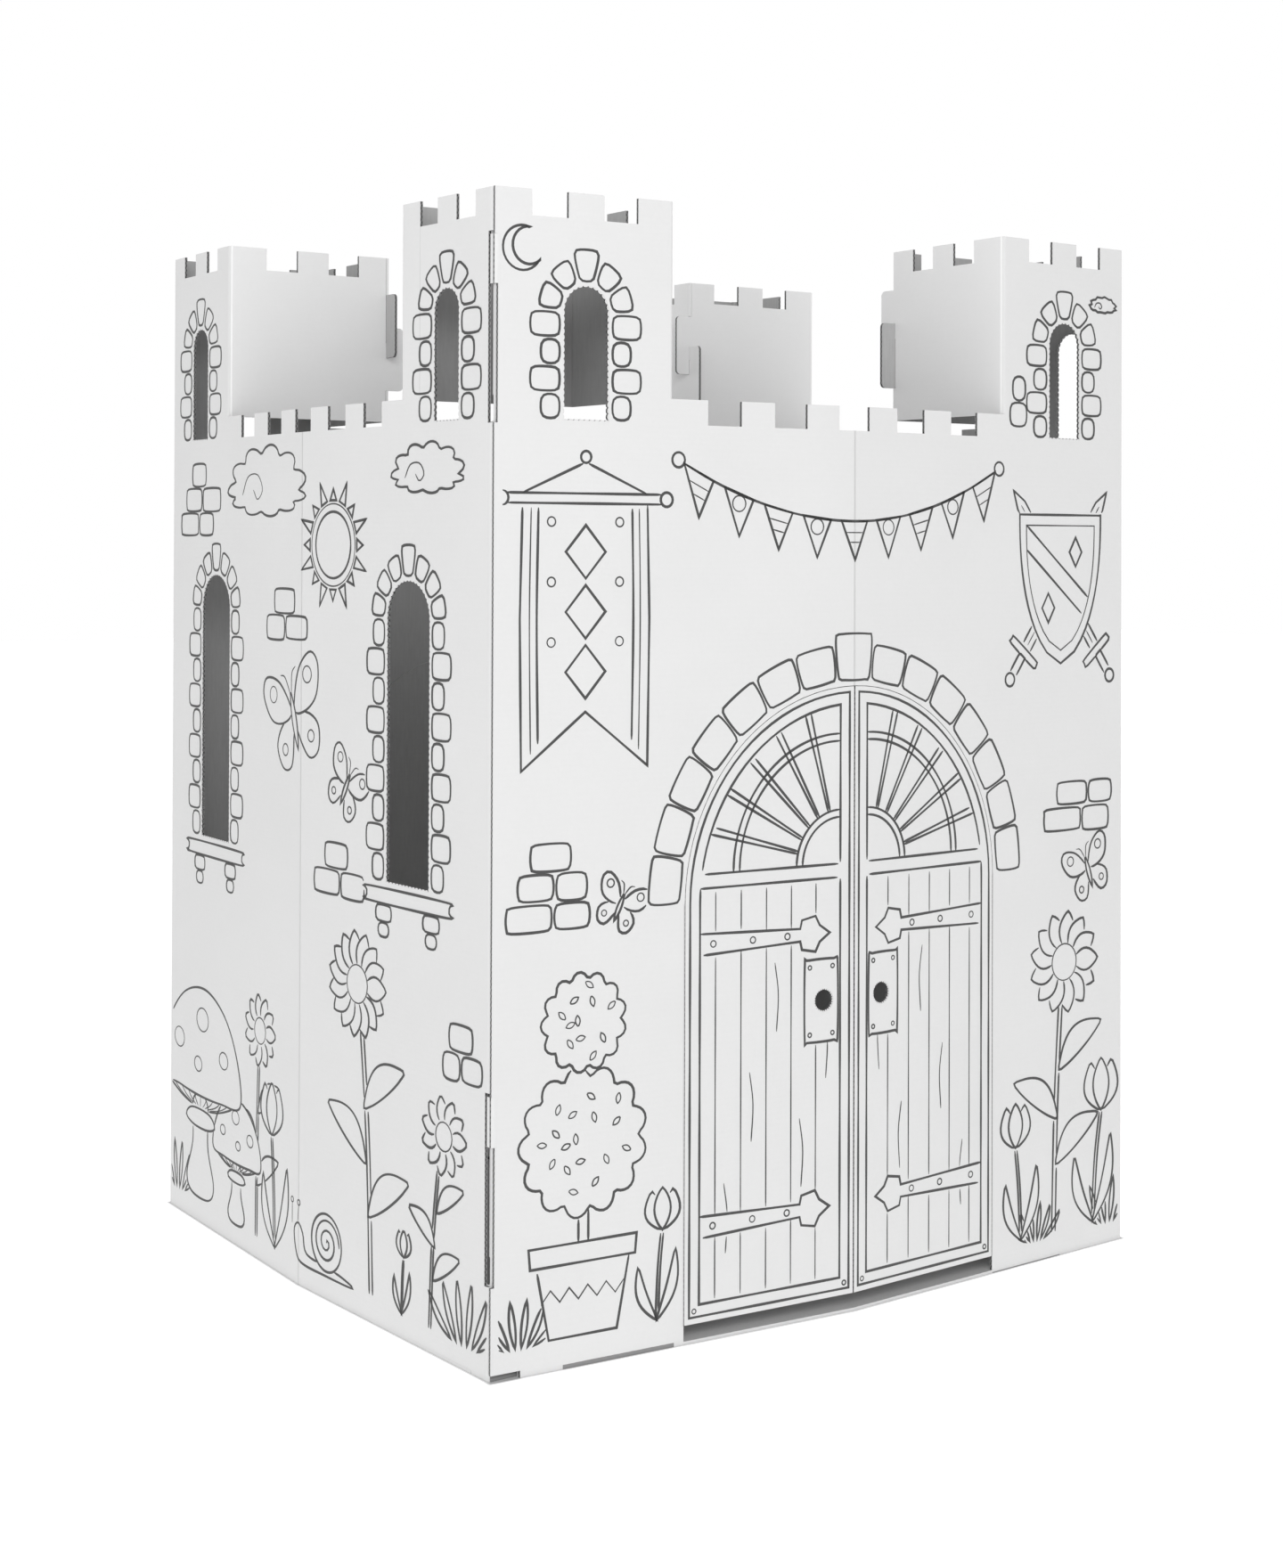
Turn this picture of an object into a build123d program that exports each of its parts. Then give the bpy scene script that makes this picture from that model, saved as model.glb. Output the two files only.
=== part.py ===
"""A child's play castle made of two identical die-cut sheets of corrugated board.

Each sheet is one long wall and one side wall, folded at a corner, with the four inner
panels of its towers, its floor flaps and a pair of arched doors.  The second sheet is
the first one turned half a turn about the upright axis, and the two lock together at
two corners.  +Z is up, the front wall faces -Y, and the origin is on the ground at the
middle of the castle.  All sizes are in millimetres.
"""

import os

from build123d import *

# The castle as a whole
front_width = 800.0
side_depth = 662.0
tower_height = 1053.0
wall_height = 871.0
board = 3.0
fit_gap = 0.4

# Walls stand slightly folded outwards at their middle crease
front_bow = 24.0
side_bow = 14.0
fold_radius = 2.6
crease_radius = 24.0

# Towers and their teeth
tower_front = 189.5
tower_side = 151.5
tooth_height = 23.5
tower_teeth = 3
wall_teeth = 6

# Arched windows in the towers, hung from the towers' tops
tower_window_drop = 83.0
tower_window_rise = 122.0
tower_window_front = 48.0
tower_window_side = 41.0

# Tall arched windows in the side walls, placed from the joined corner of the left wall
main_sill = 418.0
main_rise = 285.0
main_window_width = 73.0
near_window_place = 137.0
far_window_place = 541.0

# Doors
door_width = 393.0
door_spring_height = 405.0
door_bottom = 17.5
perforation = 0.7
meeting_gap = 1.6
finger_hole = 22.5
finger_hole_inset = 36.5
finger_hole_height = 302.0

# Hooked half tabs where two inner panels cross at a tower's inner corner, with their
# ends as shares of the panels' height
tab_low_share = 0.1923
tab_high_share = 0.7747
tab_reach = 19.0
hook_drop = 17.0
tab_round = 5.0

# Corner flap with its slots, and the tongues of the next sheet that pass through them
corner_flap = 34.0
low_slot_height = 83.0
high_slot_drop = 39.0
slot_length = 170.0
neck_length = 47.0
tongue_reach = 27.0
tongue_length = 145.0
edge_recess = 3.4

# Floor flaps along the bottom folds
floor_flap = 62.0
flap_start = 71.0
flap_slope = 26.0
side_flap_nose = 30.0
corner_notch_height = 6.5

overrun = 10.0
half_turn = 180.0

half_width = front_width / 2
half_depth = side_depth / 2
half_door = door_width / 2
tower_sill = tower_height - tower_window_drop - tower_window_rise
slot_heights = [low_slot_height, tower_height - high_slot_drop - slot_length]
tab_low = wall_height + tab_low_share * (tower_height - wall_height)
tab_high = wall_height + tab_high_share * (tower_height - wall_height)
tab_middle = (tab_low + tab_high) / 2


def front_face(x):
    """Y of the front wall's outer face at x."""
    return -half_depth - front_bow * (1 - abs(x) / half_width)


def side_face(y):
    """X of the right wall's outer face at y."""
    return half_width + side_bow * (1 - abs(y) / half_depth)


def front_middle(x):
    """A point in the middle of the front wall's board at x."""
    return (x, front_face(x) + board / 2)


def side_middle(y):
    """A point in the middle of the right wall's board at y."""
    return (side_face(y) - board / 2, y)


end_y = half_depth - board - fit_gap - board / 2
near_end = front_middle(-half_width)
front_crease = front_middle(0)
fold_corner = (half_width - board / 2, -half_depth + board / 2)
side_crease = side_middle(0)
end_corner = (half_width - board / 2, end_y)
flap_end = (half_width - corner_flap, end_y)


def board_strip(points, radii):
    """The plan of a board that runs along the points, bent round at the ones between its ends."""
    with BuildLine() as middle_line:
        FilletPolyline(*points, radius=radii)
    trace(middle_line.edges(), line_width=board)


def arch(width, rise, middle, sill):
    """A round-headed opening, rise tall from its sill."""
    with Locations((middle, sill + (rise - width / 2) / 2)):
        Rectangle(width, rise - width / 2)
    with Locations((middle, sill + rise - width / 2)):
        Circle(width / 2)


def gaps_between_teeth(start, length, teeth, top):
    """The notches between evenly spaced teeth, which stand at both ends of the length."""
    pitch = length / (2 * teeth - 1)
    for number in range(teeth - 1):
        with Locations((start + pitch * (2 * number + 3 / 2), top - tooth_height / 2)):
            Rectangle(pitch, tooth_height)
        with Locations((start + pitch * (2 * number + 3 / 2), top + overrun / 2)):
            Rectangle(pitch, overrun)


def slab(low, high, mode=Mode.ADD):
    """A rectangle between two opposite corners."""
    with Locations(((low[0] + high[0]) / 2, (low[1] + high[1]) / 2)):
        Rectangle(high[0] - low[0], high[1] - low[1], mode=mode)


def tower_panel(plane, path, length, passes_other, tab_is_upper):
    """An inner panel of a tower, from its fold at the wall to its hooked half tab.

    The plane lies in the panel, with its x along the panel from the castle's outer face
    and its y upwards.  The panel that passes the other ends flush with its face, and the
    other one ends short of it.
    """
    rest_end = length if passes_other else length - board - fit_gap
    far_end = length + tab_reach
    own_low = tab_middle + fit_gap / 2 if tab_is_upper else tab_low
    own_high = tab_high if tab_is_upper else tab_middle - fit_gap / 2
    hook_low = own_low - hook_drop if tab_is_upper else own_high
    hook_high = own_low if tab_is_upper else own_high + hook_drop
    slot_low = tab_low - fit_gap if tab_is_upper else tab_middle - fit_gap / 2
    slot_high = tab_middle + fit_gap / 2 if tab_is_upper else tab_high + fit_gap
    with BuildPart() as panel:
        with BuildSketch(Plane.XY.offset(wall_height)):
            board_strip(path, fold_radius)
        extrude(amount=tower_height - wall_height)
        with BuildSketch(plane) as beyond_end:
            slab((rest_end, wall_height - overrun), (far_end + overrun, tower_height + overrun))
            slab((length - board - fit_gap, slot_low), (length + fit_gap, slot_high))
            with BuildSketch(mode=Mode.SUBTRACT):
                slab((length - board - fit_gap, own_low), (far_end, own_high))
                slab((length + fit_gap, min(own_low, hook_low)), (far_end, max(own_high, hook_high)))
                corners = vertices().group_by(Axis.X)[-1]
                fillet(corners, radius=tab_round)
        extrude(amount=board + fit_gap, both=True, mode=Mode.SUBTRACT)
        with BuildSketch(plane):
            gaps_between_teeth(0, length, tower_teeth, tower_height)
        extrude(amount=board + fit_gap, both=True, mode=Mode.SUBTRACT)
    return panel.part


def front_panel(side, tab_is_upper):
    """A panel folded back from the front wall at a tower's edge, on the side -1 or 1."""
    edge = side * (half_width - tower_front)
    middle = edge + side * board / 2
    path = [
        front_middle(middle + side * tower_front / 5),
        front_middle(middle),
        (middle, -half_depth + tower_side + tab_reach + overrun),
    ]
    plane = Plane(origin=(middle, -half_depth, 0), x_dir=(0, 1, 0), z_dir=(1, 0, 0))
    return tower_panel(plane, path, tower_side, True, tab_is_upper)


def side_panel(side, tab_is_upper):
    """A panel folded back from the right wall, at the front tower (-1) or the back one (1)."""
    middle = side * (half_depth - tower_side + board / 2)
    path = [
        side_middle(middle + side * tower_side / 5),
        side_middle(middle),
        (half_width - tower_front - tab_reach - overrun, middle),
    ]
    plane = Plane(origin=(half_width, middle, 0), x_dir=(-1, 0, 0), z_dir=(0, 1, 0))
    return tower_panel(plane, path, tower_front, False, tab_is_upper)


def floor_flap_plan(face, low, high, inward):
    """The plan of a floor flap: its fold follows the wall, and its inner corners slope."""
    points = [face(low), face(0), face(high)]
    inner = [
        (place[0] + inward[0] * floor_flap, place[1] + inward[1] * floor_flap)
        for place in (face(high - flap_slope), face(0), face(low + flap_slope))
    ]
    with BuildLine() as outline:
        Polyline(*points, *inner, close=True)
    make_face(outline.edges())


def door_leaf(side):
    """A door leaf of the front wall, left (-1) or right (1), cut free along the arch."""
    with BuildPart() as leaf:
        with BuildSketch():
            board_strip([near_end, front_crease, front_middle(half_width)], crease_radius)
        extrude(amount=door_spring_height + half_door)
        with BuildSketch(Plane.XZ.offset(half_depth - 2 * board)):
            edge = half_door - perforation
            slab((-edge, door_bottom), (edge, door_spring_height))
            with Locations((0, door_spring_height)):
                Circle(edge)
            with Locations((side * finger_hole_inset, finger_hole_height)):
                Circle(finger_hole / 2, mode=Mode.SUBTRACT)
            sides = sorted((side * meeting_gap / 2, side * half_door))
            top = door_spring_height + half_door
            slab((sides[0], door_bottom), (sides[1], top), mode=Mode.INTERSECT)
        extrude(amount=front_bow + overrun, mode=Mode.INTERSECT)
    return leaf.part


low_front = half_width - tower_front
low_side = half_depth - tower_side
fold_room = board + fold_radius

# Depth of the corner slots from the outer face of the wall that they are cut beside
slot_depth = 3 * (board + fit_gap)
tongue_top = slot_length - board
tongue_radius = board / 2 + fit_gap
tongue_y = -half_depth + board / 2 + 2 * (board + fit_gap)
tongue_path = [
    front_middle(-half_width + 2 * fold_room),
    (-half_width + board / 2, front_middle(-half_width)[1]),
    (-half_width + board / 2, tongue_y),
    (-half_width + board / 2 + tongue_reach, tongue_y),
]

with BuildPart() as front_sheet:
    with BuildSketch():
        board_strip(
            [near_end, front_crease, fold_corner, side_crease, end_corner, flap_end],
            [crease_radius, fold_radius, crease_radius, fold_radius],
        )
    extrude(amount=tower_height)

    with BuildSketch(Plane.XZ.offset(half_depth - 2 * board)):
        slab((-low_front - fold_room, wall_height), (low_front + fold_room, tower_height + overrun))
        gaps_between_teeth(-low_front, 2 * low_front, wall_teeth, wall_height)
        for start in (-half_width, low_front):
            gaps_between_teeth(start, tower_front, tower_teeth, tower_height)
            arch(tower_window_front, tower_window_rise, start + tower_front / 2, tower_sill)
        slab((-half_door, -overrun), (half_door, door_spring_height))
        with Locations((0, door_spring_height)):
            Circle(half_door)
        slab((-half_width - overrun, -overrun), (-half_width + side_flap_nose, corner_notch_height))
        for low in slot_heights:
            neck_low = low + slot_length - neck_length
            slab((-half_width - overrun, low), (-half_width + edge_recess, neck_low))
            slab((-half_width - overrun, neck_low), (-half_width + fold_room, low + tongue_top))
    extrude(amount=front_bow + overrun, mode=Mode.SUBTRACT)

    with BuildSketch(Plane.YZ.offset(half_width - 2 * board)):
        slab((-low_side - fold_room, wall_height), (low_side + fold_room, tower_height + overrun))
        gaps_between_teeth(-low_side, 2 * low_side, wall_teeth, wall_height)
        for start in (-half_depth, low_side):
            gaps_between_teeth(start, tower_side, tower_teeth, tower_height)
            arch(tower_window_side, tower_window_rise, start + tower_side / 2, tower_sill)
        for place in (near_window_place, far_window_place):
            arch(main_window_width, main_rise, half_depth - place, main_sill)
    extrude(amount=side_bow + overrun, mode=Mode.SUBTRACT)

    with BuildSketch(Plane.XZ.offset(slot_depth - half_depth)):
        slab((half_width - corner_flap - overrun, tower_height - tooth_height),
             (half_width - fold_room, tower_height + overrun))
        for low in slot_heights:
            with Locations((half_width, low + slot_length / 2)):
                RectangleRounded(2 * (board + fit_gap), slot_length, board)
    extrude(amount=-slot_depth, mode=Mode.SUBTRACT)

    for side, tab_is_upper in ((-1, False), (1, True)):
        add(front_panel(side, tab_is_upper))
        add(side_panel(side, tab_is_upper))

    for low in slot_heights:
        with BuildSketch(Plane.XY.offset(low + slot_length - neck_length)):
            board_strip(tongue_path, tongue_radius)
        extrude(amount=neck_length + tongue_top - slot_length)
        with BuildSketch(Plane.XY.offset(low + slot_length - tongue_length)):
            slab((tongue_path[2][0] + board, tongue_path[2][1] - board / 2),
                 (tongue_path[3][0], tongue_path[3][1] + board / 2))
        extrude(amount=tongue_length + tongue_top - slot_length)

    with BuildSketch():
        floor_flap_plan(lambda x: (x, front_face(x)), flap_start - half_width, half_width - board, (0, 1))
        floor_flap_plan(lambda y: (side_face(y), y), board - half_depth, half_depth - side_flap_nose, (-1, 0))
    extrude(amount=board)

front_sheet.part.label = "front_sheet"

with BuildPart() as back_sheet:
    add(front_sheet.part, rotation=(0, 0, half_turn))
back_sheet.part.label = "back_sheet"

pieces = [front_sheet.part, back_sheet.part]
for side, side_name in ((-1, "left"), (1, "right")):
    with BuildPart() as front_door:
        add(door_leaf(side))
    front_door.part.label = "front_door_" + side_name
    with BuildPart() as back_door:
        add(front_door.part, rotation=(0, 0, half_turn))
    back_door.part.label = "back_door_" + side_name
    pieces += [front_door.part, back_door.part]

os.makedirs("parts", exist_ok=True)
for piece in pieces:
    export_step(piece, "parts/" + piece.label + ".step")
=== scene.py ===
"""The looks of a folded cardboard play castle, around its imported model.  Lengths are in metres."""

import math

import bpy
import numpy as np
from mathutils import Matrix, Vector


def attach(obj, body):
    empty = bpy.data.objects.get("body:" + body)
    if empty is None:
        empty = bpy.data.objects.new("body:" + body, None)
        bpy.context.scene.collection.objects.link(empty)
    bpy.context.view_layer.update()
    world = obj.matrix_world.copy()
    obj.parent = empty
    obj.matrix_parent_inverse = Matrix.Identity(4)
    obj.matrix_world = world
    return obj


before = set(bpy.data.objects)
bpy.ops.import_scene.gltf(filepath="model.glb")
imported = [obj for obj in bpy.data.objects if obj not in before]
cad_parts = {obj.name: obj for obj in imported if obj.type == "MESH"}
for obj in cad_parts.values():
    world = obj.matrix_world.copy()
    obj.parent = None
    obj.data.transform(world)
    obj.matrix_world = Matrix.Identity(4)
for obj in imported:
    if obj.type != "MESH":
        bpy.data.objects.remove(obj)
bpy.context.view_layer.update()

# Camera
# It stands at the photograph's viewing angle, a little below the tops of the walls, and its
# shift puts the castle where the photograph has it.  The sensor is 36 mm on its long side.
camera_place = Vector((-1.50766, -2.04413, 0.73847))
camera_yaw, camera_pitch, camera_roll = 0.57609, 0.01021, 0.00408
focal_pixels, centre_pixel = 2601.0, (559.9, 581.9)
image_wide, image_tall = 1440, 1760
sensor_mm = 36.0

camera_data = bpy.data.cameras.new("camera")
camera_data.sensor_width = sensor_mm
camera_data.lens = focal_pixels * sensor_mm / image_tall
camera_data.shift_x = (image_wide / 2 - centre_pixel[0]) / image_tall
camera_data.shift_y = (centre_pixel[1] - image_tall / 2) / image_tall
camera_data.clip_start, camera_data.clip_end = 0.05, 60
camera = bpy.data.objects.new("camera", camera_data)
forward = Vector((math.sin(camera_yaw) * math.cos(camera_pitch),
                  math.cos(camera_yaw) * math.cos(camera_pitch), math.sin(camera_pitch)))
level_right = Vector((math.cos(camera_yaw), -math.sin(camera_yaw), 0))
level_up = level_right.cross(forward)
right = level_right * math.cos(camera_roll) + level_up * math.sin(camera_roll)
up = level_up * math.cos(camera_roll) - level_right * math.sin(camera_roll)
turned = Matrix((right, up, -forward)).transposed().to_4x4()
camera.matrix_world = Matrix.Translation(camera_place) @ turned
bpy.context.scene.collection.objects.link(camera)
bpy.context.scene.camera = camera
bpy.context.scene.view_settings.view_transform = "Standard"

# Floor
# One large sheet of white background paper with a fine tooth, level under the castle and
# lit from beneath all round it, so that it stays white up to the foot of the bowed walls.
# It is part of the studio, not of the castle.


class Socket:
    """A shader value that adds a Math node for each sum, product or comparison written on it."""

    def __init__(self, shader, link):
        self.shader, self.link = shader, link

    def _math(self, operation, other, swapped=False):
        values = (other, self) if swapped else (self, other)
        return self.shader.node("ShaderNodeMath", {"operation": operation}, dict(enumerate(values)))

    def __add__(self, other):
        return self._math("ADD", other)

    __radd__ = __add__

    def __mul__(self, other):
        return self._math("MULTIPLY", other)

    __rmul__ = __mul__

    def __sub__(self, other):
        return self._math("SUBTRACT", other)

    def __rsub__(self, other):
        return self._math("SUBTRACT", other, True)

    def __truediv__(self, other):
        return self._math("DIVIDE", other)

    def __gt__(self, other):
        return self._math("GREATER_THAN", other)

    def __lt__(self, other):
        return self._math("LESS_THAN", other)

    def __abs__(self):
        return self._math("ABSOLUTE", 0)

    def top(self, other):
        return self._math("MAXIMUM", other)

    def low(self, other):
        return self._math("MINIMUM", other)

    def sign(self):
        return self._math("SIGN", 0)

    def sine(self):
        return self._math("SINE", 0)


class Shader:
    """The nodes of one material, or of the room, around its main shader."""

    def __init__(self, name, kept_in=bpy.data.materials, main="Principled BSDF"):
        self.material = kept_in.new(name)
        self.material.use_nodes = True
        self.tree = self.material.node_tree
        self.main = self.tree.nodes[main]

    def node(self, kind, settings=None, inputs=None, output=0):
        """A node of a type, with its settings set first and then its sockets' values or links."""
        made = self.tree.nodes.new(kind)
        for key, value in (settings or {}).items():
            setattr(made, key, value)
        for key, value in (inputs or {}).items():
            if isinstance(value, Socket):
                self.tree.links.new(value.link, made.inputs[key])
            else:
                made.inputs[key].default_value = value
        return Socket(self, made.outputs[output])

    def feed(self, key, value):
        """Links a value to one of the main shader's sockets."""
        self.tree.links.new(value.link, self.main.inputs[key])

    def split(self, vector):
        """The three parts of a vector."""
        made = self.node("ShaderNodeSeparateXYZ", None, {0: vector})
        return [Socket(self, out) for out in made.link.node.outputs]

    def noise(self, place, scale, detail=2.0):
        """Soft noise about a half, with so many swells to the metre."""
        return self.node("ShaderNodeTexNoise", None,
                         {"Vector": place, "Scale": scale, "Detail": detail})

    def grey(self, tone):
        """A grey colour from a value, in linear light."""
        return self.node("ShaderNodeCombineColor", None, {0: tone, 1: tone, 2: tone})

    def bump(self, height):
        """A Bump node, fed to Normal, for a height in metres."""
        self.feed("Normal", self.node("ShaderNodeBump", None,
                                      {"Height": height, "Distance": 1.0, "Strength": 1.0}))


half_width, half_depth = 0.400, 0.331
front_bow, side_bow = 0.024, 0.014
floor_reach = 14.0
paper_tone, lit_over, lit_tone = 0.79, 0.004, 0.76
paper = Shader("background_paper")
paper_place = paper.node("ShaderNodeTexCoord", output=3)
paper_x, paper_y, _ = paper.split(paper_place)
before_front = abs(paper_y) - half_depth - (1 - abs(paper_x) / half_width) * front_bow
beside_wall = abs(paper_x) - half_width - (1 - abs(paper_y) / half_depth) * side_bow
clear_of_castle = (before_front.top(beside_wall) / lit_over).top(0).low(1)
paper.feed("Base Color", paper.grey(paper.noise(paper_place, 3.0) * 0.02 + paper_tone))
paper.feed("Emission Color", paper.grey(clear_of_castle * lit_tone))
paper.main.inputs["Emission Strength"].default_value = 1.0
paper.main.inputs["Roughness"].default_value = 0.9
paper.main.inputs["Specular IOR Level"].default_value = 0.2
floor_mesh = bpy.data.meshes.new("floor")
floor_mesh.from_pydata([(-floor_reach, -floor_reach, 0), (floor_reach, -floor_reach, 0),
                        (floor_reach, floor_reach, 0), (-floor_reach, floor_reach, 0)],
                       [], [(0, 1, 2, 3)])
floor_mesh.materials.append(paper.material)
floor = bpy.data.objects.new("floor", floor_mesh)
bpy.context.scene.collection.objects.link(floor)

# Room and lamps
# A white room that is dimmer overhead, and a large soft lamp before the castle and another
# behind it, both aimed at the castle's middle.
overhead_dimming, dimming_start, dimming_span = 0.8, 0.26, 0.4
lamp_aim = Vector((0, 0, 0.6))
room = Shader("white_room", bpy.data.worlds, "Background")
room_height = room.split(room.node("ShaderNodeTexCoord"))[2]
overhead = ((room_height - dimming_start) / dimming_span).top(0).low(1)
room.feed("Color", room.grey(1 - overhead * overhead_dimming))
room.main.inputs["Strength"].default_value = 1.0
bpy.context.scene.world = room.material


def soft_lamp(name, place, size, power):
    """A square soft lamp at a place, turned to the middle of the castle."""
    data = bpy.data.lights.new(name, "AREA")
    data.shape, data.size, data.energy = "SQUARE", size, power
    lamp = bpy.data.objects.new(name, data)
    lamp.location = place
    lamp.rotation_mode = "QUATERNION"
    lamp.rotation_quaternion = (lamp_aim - Vector(place)).to_track_quat("-Z", "Y")
    bpy.context.scene.collection.objects.link(lamp)


soft_lamp("front_lamp", (-1.7, -2.4, 1.8), size=1.2, power=26)
soft_lamp("back_lamp", (1.2, 2.8, 1.8), size=1.4, power=18)

# Sheets of board
# White-faced corrugated board, clay-coated and printed outside, with a plain grey liner
# inside.  The flutes run level, so upright cuts show their open ends and level cuts show
# layers.  Each wall is scored at its middle and folded at its corners.
tower_front, tower_side = 0.1895, 0.1515
board = 0.003
half_door, door_spring_height, door_bottom = 0.1965, 0.405, 0.0175
wall_height, tower_height = 0.871, 1.053
front_zone, side_zone, slack = 0.322, 0.392, 0.001
# The tower panels' white is painted lighter than the walls' white, as painted light on the same board.
white_tone, panel_painted_light_white, liner_tone, raw_kraft_shaded_tone, flute_hollow_shade_tone = 0.68, 0.85, 0.47, 0.34, 0.05
flute_pitch, flute_rise, flute_bump = 0.0052, 0.34, 0.00001
half_sheet, liner_start, level_layers = 0.13, 0.38, 0.55
crease_width, crease_painted_highlight = 0.004, 0.07
fold_height, fold_wander, fold_start, fold_end, foot_shade_tone = 0.0034, 0.02, 0.074, 0.193, 0.25
foot_gap, foot_gap_start, foot_gap_end = 0.001, 0.597, 0.70
flap_painted_light = 0.22
nose_reach, notch_height, notch_shade_tone, nose_edge_shade_lift = 0.0302, 0.0064, 0.16, 0.07
score_half, score_low, score_painted_shade, score_deep = 0.0016, 0.60, 0.16, 0.0006
mottle_scale, mottle_tone, speck_scale, speck_tone = 9.0, 0.035, 260.0, 0.02
fibre_scale, fibre_length, fibre_tone, fibre_deep = 420.0, 0.12, 0.10, 0.00003
buckle_scale, buckle_deep, ripple_scale, ripple_deep = 5.5, 0.0030, 22.0, 0.00035
board_rough, fibre_rough, liner_rough, board_gloss = 0.50, 0.12, 0.2, 0.32


def board_material():
    """White outside, grey inside and fluted on its raw edges, told apart by place and facing.

    A face is outside when it faces away from the castle's middle on a wall, or towards it
    on a tower's inner panel, and raw when it lies across the board's thickness.
    """
    shader = Shader("printed_board")
    place = shader.node("ShaderNodeTexCoord", output=3)
    x, y, z = shader.split(place)
    face_x, face_y, face_z = shader.split(shader.node("ShaderNodeTexCoord", output=1))
    out_x, out_y = face_x * x.sign(), face_y * y.sign()
    far_x, far_y = abs(x), abs(y)
    along_wall = half_width - x * y.sign()

    # Which face: at a wall, at an inner panel of a tower, or on a floor flap
    panel_x, panel_y = half_width - tower_front + board / 2, half_depth - tower_side + board / 2
    at_front, at_side = far_y > front_zone, far_x > side_zone
    at_panel_x, at_panel_y = abs(far_x - panel_x) < board, abs(far_y - panel_y) < board
    high = z > wall_height - slack
    low_flap = z < board * 1.1
    end_cut = (x * y > 0) * (far_y > half_depth - board * 1.1) * (abs(face_x) > 0.5)
    at_side = at_side * (1 - end_cut)
    wall_facing = (at_front * out_y).top(at_side * out_x)
    facing = wall_facing.top(at_panel_x * high * out_x * -1)
    facing = facing.top(at_panel_y * high * out_y * -1).top(low_flap * face_z * -1)
    inward = (at_front * out_y * -1).top(at_side * out_x * -1)
    inward = inward.top(at_panel_x * high * out_x).top(at_panel_y * high * out_y)
    inward = inward.top(low_flap * face_z)
    outer = facing > 0.5
    inner = (inward > 0.5) * (1 - outer)

    # Raw edges: two liners and a waved sheet between them, by the depth below the white face.  The open
    # flutes' hollows are painted near black as shade, and the kraft is painted darker with shade
    front_depth = (1 - far_x / half_width) * front_bow + half_depth - far_y
    side_depth = (1 - far_y / half_depth) * side_bow + half_width - far_x
    depth = at_side * side_depth + (1 - at_side) * at_front * front_depth
    off_walls = (1 - at_side) * (1 - at_front)
    depth = depth + off_walls * (at_panel_x * (far_x - panel_x) + at_panel_y * (far_y - panel_y))
    across = depth / board + off_walls * 0.5
    wave = (z * (2 * math.pi / flute_pitch)).sine()
    level_cut = abs(face_z) > 0.5
    middle_sheet = abs(across - wave * flute_rise - 0.5) < half_sheet
    liners = abs(across - 0.5) > liner_start
    upright_share = (1 - level_cut) * middle_sheet.top(liners)
    paper_share = level_cut * liners.top(level_layers) + upright_share
    # Painted shade: hollows near black, paper as kraft darkened by shade.
    raw = paper_share * (raw_kraft_shaded_tone - flute_hollow_shade_tone) + flute_hollow_shade_tone

    # White face and liner, and painted shade along the foot of the long walls
    specks = shader.noise(place, speck_scale) * speck_tone
    mottle = shader.noise(place, mottle_scale, 4.0) * mottle_tone + specks
    drawn_out = shader.node("ShaderNodeVectorMath", {"operation": "MULTIPLY"},
                            {0: place, 1: (1, 1, fibre_length)})
    fibre = shader.noise(drawn_out, fibre_scale, 3.0)
    # Painted light: the white face off the walls, mostly the tower panels, is lighter than on the walls.
    wall_white_face = wall_facing > 0.5
    white = mottle + panel_painted_light_white - wall_white_face * (panel_painted_light_white - white_tone)
    # A painted highlight: the fold strips beside the walls' white face are made paler.
    at_crease = front_depth.low(side_depth) < crease_width
    white = white + at_crease * (1 - wall_white_face) * crease_painted_highlight
    # The floor flaps' top faces are painted paler than the liner, as painted light.
    liner = fibre * fibre_tone + mottle * 1.5 + low_flap * flap_painted_light + (liner_tone - 0.07)
    # Painted shade: a dark band with a wandering top along part of the long walls' foot, and a thin dark
    # line where a gap shows under the foot.
    foot_shade = z < mottle * fold_wander + fold_height
    foot_shade = foot_shade * (along_wall > fold_start) * (along_wall < fold_end)
    foot_gap_shade = (z < foot_gap) * (along_wall > foot_gap_start) * (along_wall < foot_gap_end)
    foot_shade = foot_shade.top(foot_gap_shade) * at_front
    white = white + foot_shade * (foot_shade_tone - white)
    tone = outer * white + inner * liner + (1 - outer) * (1 - inner) * raw

    # The notch at the corner's foot, painted dark as shade: the gap over the side wall's flap and its raw
    # nose, whose lowest part is painted a little less dark
    notch_shade = at_front * (along_wall < nose_reach) * (z < notch_height) * (abs(face_x) < 0.5)
    tone = tone + notch_shade * ((z < board * 0.9) * nose_edge_shade_lift + notch_shade_tone - tone)

    # Scores down the middle of each wall and down the door's two sides, painted darker on the white face
    # as shade in their grooves
    score = 1 - (far_x.low(far_y) / score_half).low(1)
    score = score * (z > score_low) * at_front + score * at_side
    hinge_score = 1 - (abs(far_x - half_door) / score_half).low(1)
    beside_door = at_front * (z < door_spring_height) * (z > door_bottom)
    score = score.top(hinge_score * beside_door)
    shader.feed("Base Color", shader.grey(tone * (1 - score * outer * score_painted_shade)))
    shader.feed("Roughness", fibre * fibre_rough + inner * liner_rough + board_rough)
    shader.main.inputs["Specular IOR Level"].default_value = board_gloss

    # The flutes show faintly through the face, over slow buckles and fine ripples
    ripples = shader.noise(place, ripple_scale) * ripple_deep
    buckles = shader.noise(place, buckle_scale, 1.0) * buckle_deep + ripples
    shader.bump(wave * flute_bump + buckles + fibre * fibre_deep - score * score_deep)
    return shader.material


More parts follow.
